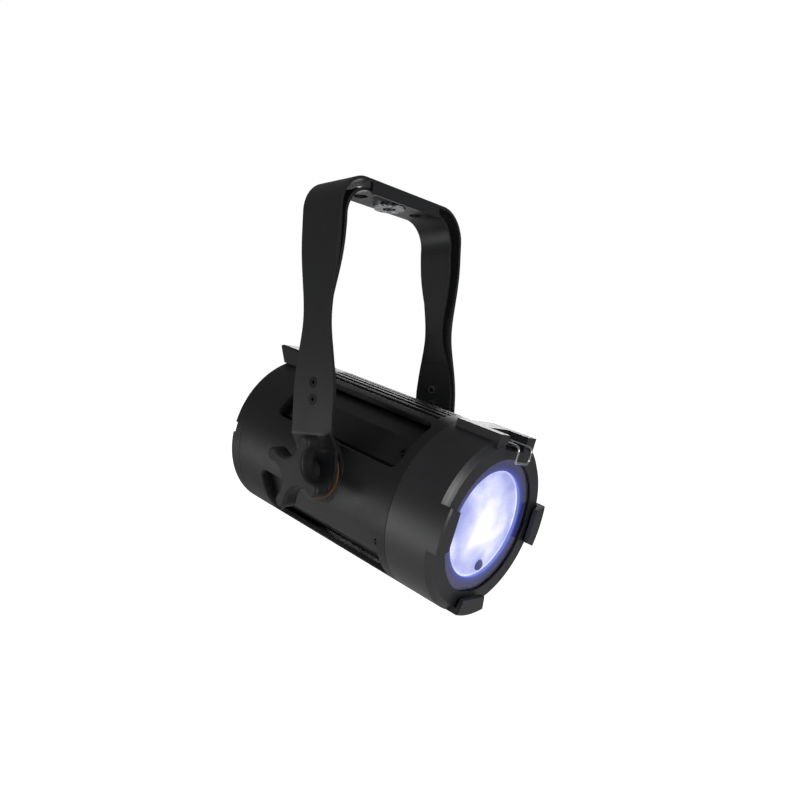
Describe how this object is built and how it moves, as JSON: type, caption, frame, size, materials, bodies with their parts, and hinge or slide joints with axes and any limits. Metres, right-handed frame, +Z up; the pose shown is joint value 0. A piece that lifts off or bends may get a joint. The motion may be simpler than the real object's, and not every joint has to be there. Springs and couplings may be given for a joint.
{
  "type": "par can light",
  "caption": "Cylindrical stage wash light with a lit lens, claw collar and wire latch, tilting in a doubled strap yoke between lobed knobs.",
  "frame": {"origin": "centre of the hanging hole, on the top face of the yoke", "axes": "+Z up, X along the tilt pivot, the beam leaves towards -Y and 14.5 degrees down"},
  "size_m": [0.2232, 0.3056, 0.3818],
  "materials": {
    "black_powder_coat": "satin powder coat",
    "black_casting": "satin black enamel",
    "black_sheet": "matte black",
    "black_anodised": "black anodised",
    "black_steel": "blackened",
    "zinc_plate": "zinc plated",
    "bright_steel": "bright",
    "copper_fibre": "copper brown",
    "black_plastic": "fine moulded grain",
    "black_rubber": "matte",
    "clear_glass": "clear",
    "frosted_lens": "frosted",
    "white_reflector": "white",
    "led_light": "lit",
    "blue_plastic": "moulded",
    "grey_plastic": "moulded",
    "socket_metal": "nickel plated",
    "green_board": "solder mask",
    "dark_window": "smoked"
  },
  "bodies": {
    "yoke": {"yoke_outer_strap": "black_powder_coat", "yoke_inner_strap": "black_powder_coat", "hanger_bush": "zinc_plate", "strap_spacer": "zinc_plate", "yoke_screws": "black_steel", "yoke_nuts": "zinc_plate"},
    "head": {"friction_washers": "copper_fibre", "plain_washers": "black_steel", "spring_washers": "black_steel", "pivot_studs": "bright_steel", "boss_inserts": "bright_steel", "body_shell": "black_casting", "inner_liner": "black_sheet", "liner_screws": "black_steel", "heatsink": "black_anodised", "front_collar": "black_anodised", "latch_pin": "bright_steel", "latch_spring": "bright_steel", "front_glass": "clear_glass", "glass_gasket": "black_rubber", "lens_mask": "black_sheet", "front_lens": "frosted_lens", "lens_carrier": "black_sheet", "retaining_ring": "black_sheet", "light_tube": "white_reflector", "led_board": "white_reflector", "led_emitters": "led_light", "optic_array": "frosted_lens", "rear_ring": "black_casting", "rear_cover": "black_sheet", "cover_screws": "black_steel", "power_inlet": "blue_plastic", "power_outlet": "grey_plastic", "data_inlet": "socket_metal", "data_outlet": "socket_metal", "socket_contacts": "bright_steel", "safety_eye": "bright_steel", "fan_frame": "black_plastic", "driver_board": "green_board", "driver_standoffs": "bright_steel", "driver_parts": "black_plastic", "control_pod": "black_plastic", "display_window": "dark_window", "display_board": "green_board"},
    "knob_left": {"tilt_knob_left": "black_plastic"},
    "knob_right": {"tilt_knob_right": "black_plastic"},
    "latch": {"latch_wire": "bright_steel"},
    "fan": {"fan_rotor": "black_plastic"},
    "button_1": {"menu_button_1": "black_rubber"},
    "button_2": {"menu_button_2": "black_rubber"},
    "button_3": {"menu_button_3": "black_rubber"},
    "button_4": {"menu_button_4": "black_rubber"}
  },
  "joints": [
    {"name": "head_tilt", "type": "hinge", "parent": "yoke", "child": "head", "pos_m": [0, 0, -0.264], "axis": [1, 0, 0], "range_deg": [-60, 90]},
    {"name": "knob_left_turn", "type": "hinge", "parent": "head", "child": "knob_left", "pos_m": [-0.1, 0, -0.264], "axis": [-1, 0, 0], "continuous": true},
    {"name": "knob_right_turn", "type": "hinge", "parent": "head", "child": "knob_right", "pos_m": [0.1, 0, -0.264], "axis": [1, 0, 0], "continuous": true},
    {"name": "latch_lift", "type": "hinge", "parent": "head", "child": "latch", "pos_m": [0.00565, -0.13881, -0.23051], "axis": [-0.9969, -0.0196, 0.076], "range_deg": [0, 100], "stiffness_Nm_per_rad": 0.02, "springref_deg": -17.19},
    {"name": "fan_spin", "type": "hinge", "parent": "head", "child": "fan", "pos_m": [0, 0.06699, -0.25143], "axis": [0, -0.9681, -0.2504], "continuous": true},
    {"name": "button_1_press", "type": "slide", "parent": "head", "child": "button_1", "axis": [0, -0.9488, 0.3157], "range_m": [0, 0.0012], "stiffness_N_per_m": 150, "springref_m": -0.0003},
    {"name": "button_2_press", "type": "slide", "parent": "head", "child": "button_2", "axis": [0, -0.9488, 0.3157], "range_m": [0, 0.0012], "stiffness_N_per_m": 150, "springref_m": -0.0003},
    {"name": "button_3_press", "type": "slide", "parent": "head", "child": "button_3", "axis": [0, -0.9488, 0.3157], "range_m": [0, 0.0012], "stiffness_N_per_m": 150, "springref_m": -0.0003},
    {"name": "button_4_press", "type": "slide", "parent": "head", "child": "button_4", "axis": [0, -0.9488, 0.3157], "range_m": [0, 0.0012], "stiffness_N_per_m": 150, "springref_m": -0.0003}
  ]
}
